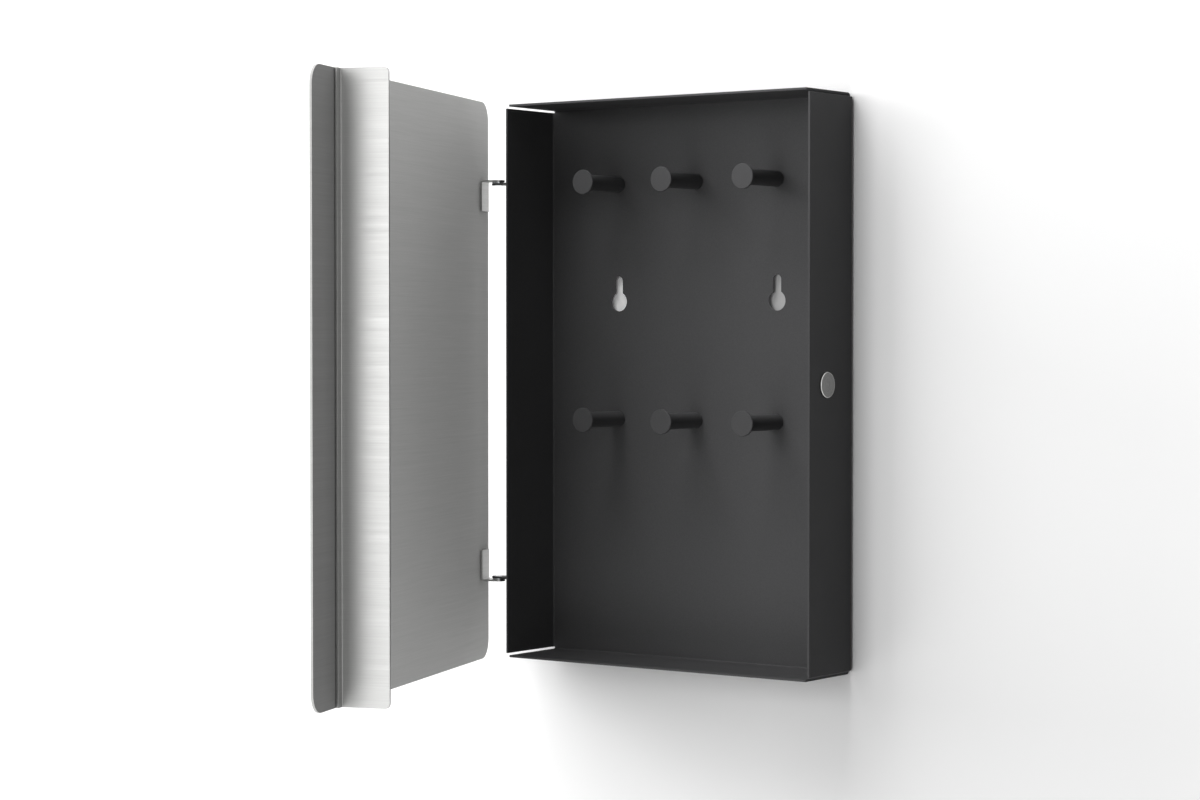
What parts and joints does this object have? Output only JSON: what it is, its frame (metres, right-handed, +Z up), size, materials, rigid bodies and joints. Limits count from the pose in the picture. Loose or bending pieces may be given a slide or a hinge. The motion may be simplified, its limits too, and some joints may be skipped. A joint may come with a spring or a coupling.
{
  "type": "key cabinet",
  "caption": "Wall-hung steel key cabinet: shallow folded black case with disc-headed key pegs and a brushed steel door on pin hinges, held shut by a magnet.",
  "frame": {"origin": "centre of the back plate's rear face, which lies on the wall", "axes": "+X to the right seen from the front, +Y into the wall, +Z up; the door opens towards -Y"},
  "size_m": [0.2166, 0.263, 0.3],
  "materials": {
    "coated_steel": "fine-texture matt black powder coat on folded sheet steel",
    "coated_peg": "matt black powder coat on turned steel",
    "brushed_stainless": "stainless sheet with a level brushed grain",
    "bracket_stainless": "plain stainless strip, folded",
    "zinc_steel": "bright zinc plated steel",
    "catch_steel": "turned steel disc, satin face and bright rim",
    "magnet_nickel": "nickel plated magnet"
  },
  "bodies": {
    "case": {"case_body": "coated_steel", "peg_top_left": "coated_peg", "peg_top_middle": "coated_peg", "peg_top_right": "coated_peg", "peg_bottom_left": "coated_peg", "peg_bottom_middle": "coated_peg", "peg_bottom_right": "coated_peg", "peg_screw_top_left": "zinc_steel", "peg_screw_top_middle": "zinc_steel", "peg_screw_top_right": "zinc_steel", "peg_screw_bottom_left": "zinc_steel", "peg_screw_bottom_middle": "zinc_steel", "peg_screw_bottom_right": "zinc_steel", "hinge_ear_upper": "coated_steel", "hinge_ear_lower": "coated_steel", "hinge_pin_upper": "zinc_steel", "hinge_pin_lower": "zinc_steel", "hinge_washer_upper": "zinc_steel", "hinge_washer_lower": "zinc_steel", "catch_disc": "catch_steel", "catch_washer": "zinc_steel", "catch_nut": "zinc_steel"},
    "door": {"door_panel": "brushed_stainless", "closing_flange": "brushed_stainless", "door_bracket_upper": "bracket_stainless", "door_bracket_lower": "bracket_stainless", "magnet_cup": "zinc_steel", "magnet_core": "magnet_nickel"}
  },
  "joints": [
    {"name": "door_hinge", "type": "hinge", "parent": "case", "child": "door", "pos_m": [-0.1069, -0.0329, 0], "axis": [0, 0, -1], "range_deg": [-70.5, 109.5]}
  ]
}
